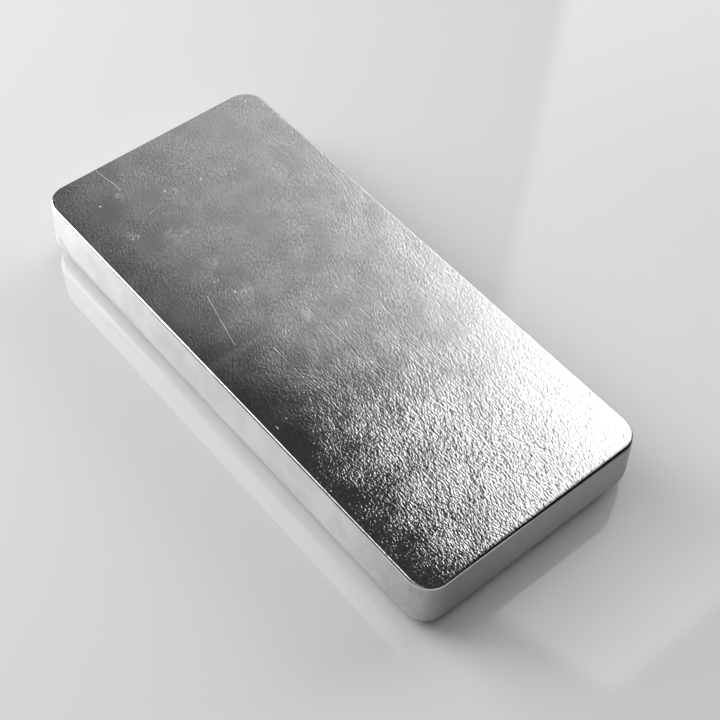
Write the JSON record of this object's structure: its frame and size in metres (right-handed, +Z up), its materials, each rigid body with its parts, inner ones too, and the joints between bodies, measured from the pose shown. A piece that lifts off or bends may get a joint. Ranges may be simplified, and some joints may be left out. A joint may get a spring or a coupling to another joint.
{
  "type": "silver bar",
  "caption": "Cast silver bar: a flat block with rounded corners, drafted walls, a crisp upper rim and a rounded foot.",
  "frame": {"origin": "middle of the underside, on the surface the bar lies on", "axes": "+X along the bar's length, +Y across its width, +Z up from the underside to the grained upper face"},
  "size_m": [0.1212, 0.055, 0.0147],
  "materials": {
    "cast_silver": "bright as-cast silver with a fine pebbled grain on the upper face and smoother walls"
  },
  "bodies": {
    "root": {"silver_bar": "cast_silver"}
  },
  "joints": []
}
